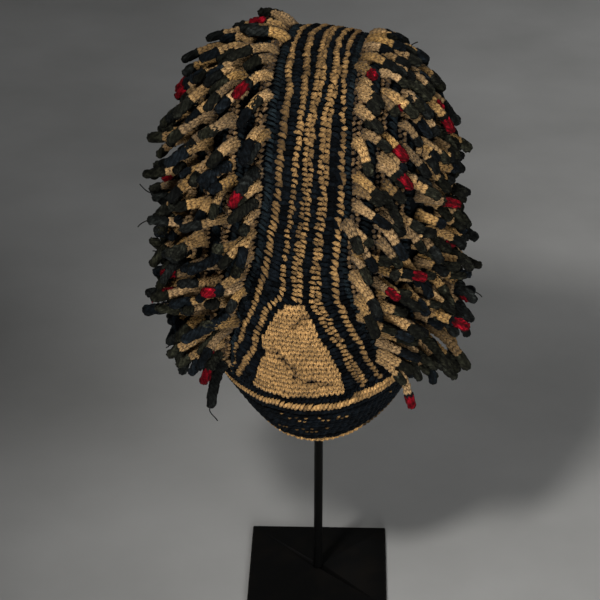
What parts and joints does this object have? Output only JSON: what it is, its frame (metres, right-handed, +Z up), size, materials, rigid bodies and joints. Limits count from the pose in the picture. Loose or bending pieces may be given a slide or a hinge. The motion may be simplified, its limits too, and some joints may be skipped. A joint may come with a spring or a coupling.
{
  "type": "fingerling hat on stand",
  "caption": "Tall crocheted cap with a striped band over the crown, a dark rim and long crocheted fingers on both sides, on a rod stand with a square base plate.",
  "frame": {"origin": "middle of the base plate's underside, on the surface that the stand rests on", "axes": "+Z up along the rod, the hat's front towards -Y, +X to the right in the front view"},
  "size_m": [0.2248, 0.2307, 0.4068],
  "materials": {
    "tan_cotton": "matt crocheted cotton, tan stripes worked with dark blue",
    "indigo_cotton": "matt crocheted cotton, near-black indigo with tan finger shafts",
    "black_steel": "satin black paint, lightly rubbed"
  },
  "bodies": {
    "root": {"base_plate": "black_steel", "stand_post": "black_steel", "edge_row": "tan_cotton", "rim_band": "indigo_cotton", "cap_shell": "tan_cotton", "fingers_left": "indigo_cotton", "fingers_right": "indigo_cotton"}
  },
  "joints": []
}
